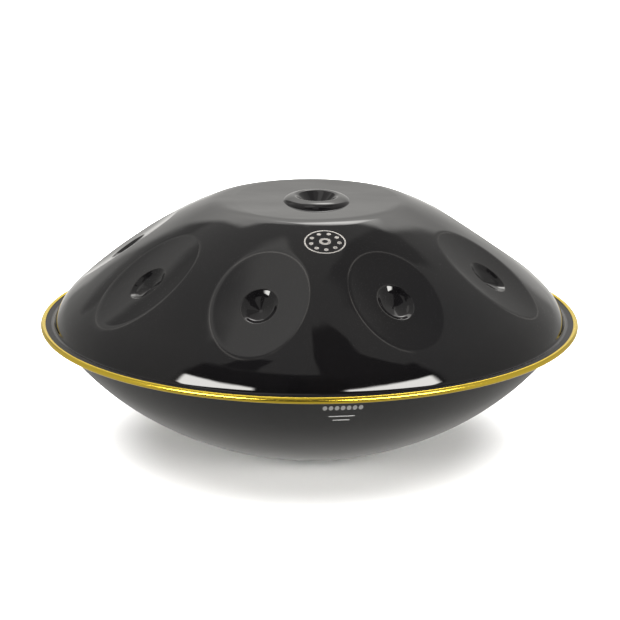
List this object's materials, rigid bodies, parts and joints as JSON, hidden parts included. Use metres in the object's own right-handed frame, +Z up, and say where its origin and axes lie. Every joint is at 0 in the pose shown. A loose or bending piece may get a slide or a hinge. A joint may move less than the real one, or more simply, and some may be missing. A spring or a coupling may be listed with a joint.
{
  "type": "handpan",
  "caption": "Lens-shaped steel hand drum: two shells joined at a tube-trimmed rim, with a raised central note, a ring of flattened dimpled notes and a sound port below.",
  "frame": {"origin": "centre of the overall bounding box in plan, on the floor plane that the standing ring rests on", "axes": "+Z up through the central note, -Y towards the player; the notes are spread either side of the Y axis"},
  "size_m": [0.54, 0.54, 0.2556],
  "materials": {
    "gloss_black_steel": "glossy black, mirror-like, slightly uneven from hammering",
    "satin_black_steel": "satin dark grey, fine even texture",
    "adhesive": "dull dark cured adhesive",
    "gold_trim": "polished gold-coloured tube, fine lines along its length"
  },
  "bodies": {
    "root": {"upper_shell": "gloss_black_steel", "lower_shell": "satin_black_steel", "rim_glue": "adhesive", "rim_trim": "gold_trim"}
  },
  "joints": []
}
